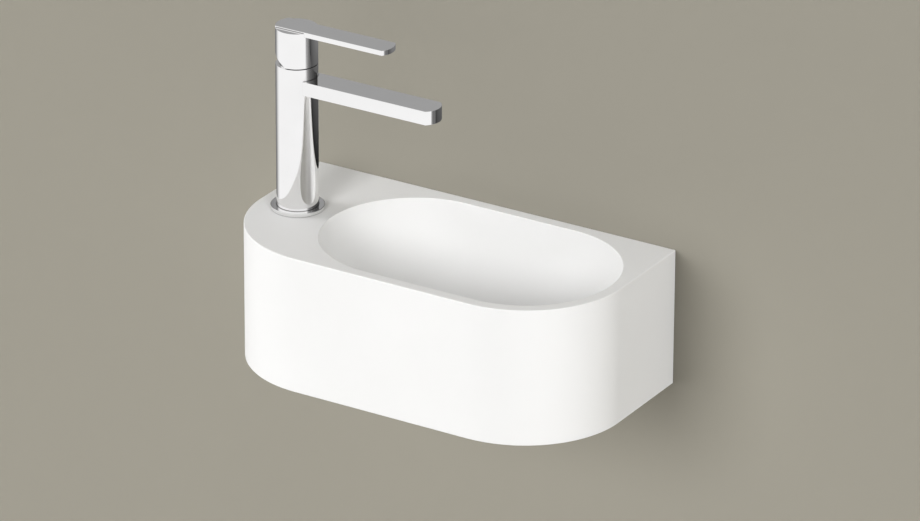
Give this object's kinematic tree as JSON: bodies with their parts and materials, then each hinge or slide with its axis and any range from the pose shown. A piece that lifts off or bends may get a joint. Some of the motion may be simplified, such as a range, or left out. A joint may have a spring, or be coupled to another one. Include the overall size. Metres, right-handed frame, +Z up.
{
  "type": "wall-hung washbasin",
  "caption": "Small wall-hung washbasin with an off-centre bowl, a single-lever mixer tap on the left of its deck, a free-flow waste and its wall fixings.",
  "frame": {"origin": "midway between the two wall bolts, on the surface of the wall", "axes": "+X right along the wall, +Y into the wall, +Z up; the basin's front faces -Y"},
  "size_m": [0.345, 0.235, 0.318],
  "materials": {
    "basin": "matt white",
    "chrome": "polished",
    "brass": "machined",
    "zinc_steel": "zinc plated",
    "rubber": "matt black",
    "white_plastic": "moulded, natural white",
    "grey_plastic": "moulded grey",
    "disc_ceramic": "lapped ivory"
  },
  "bodies": {
    "basin": {"basin_body": "basin", "hanger_bolts": "zinc_steel", "bolt_sleeves": "white_plastic", "bolt_washers": "zinc_steel", "bolt_nuts": "zinc_steel", "waste_body": "chrome", "waste_top_gasket": "rubber", "waste_under_gasket": "rubber", "waste_slip_washer": "white_plastic", "waste_nut": "brass", "tap_body": "chrome", "base_ring": "chrome", "base_oring": "rubber", "fixing_stud": "zinc_steel", "stud_gasket": "rubber", "stud_washer": "zinc_steel", "stud_nut": "brass", "aerator_housing": "chrome", "aerator_insert": "grey_plastic", "aerator_seal": "rubber", "cartridge_housing": "white_plastic", "cartridge_base": "grey_plastic", "cartridge_seals": "rubber", "fixed_disc": "disc_ceramic", "retaining_nut": "brass", "cover_dome": "chrome"},
    "rotor": {"cartridge_rotor": "white_plastic", "pivot_pin": "zinc_steel"},
    "disc": {"moving_disc": "disc_ceramic", "disc_carrier": "grey_plastic"},
    "handle": {"lever_handle": "chrome", "spindle": "brass", "grub_screw": "zinc_steel", "screw_cap": "chrome"},
    "cap": {"waste_cap": "chrome", "waste_cap_oring": "rubber"}
  },
  "joints": [
    {"name": "temperature_swivel", "type": "hinge", "parent": "basin", "child": "rotor", "pos_m": [-0.1365, -0.09, 0.194], "axis": [0, 0, 1], "range_deg": [-45, 45]},
    {"name": "flow_tilt", "type": "hinge", "parent": "rotor", "child": "handle", "pos_m": [-0.1365, -0.09, 0.194], "axis": [0, -1, 0], "range_deg": [0, 25]},
    {"name": "disc_slide", "type": "slide", "parent": "rotor", "child": "disc", "axis": [1, 0, 0], "range_m": [0, 0.0031]},
    {"name": "waste_cap_lift", "type": "slide", "parent": "basin", "child": "cap", "axis": [0, 0, 1], "range_m": [0, 0.03]}
  ],
  "couplings": [
    {"joint": "disc_slide", "follows": "flow_tilt", "m_per_rad": 0.0069}
  ]
}
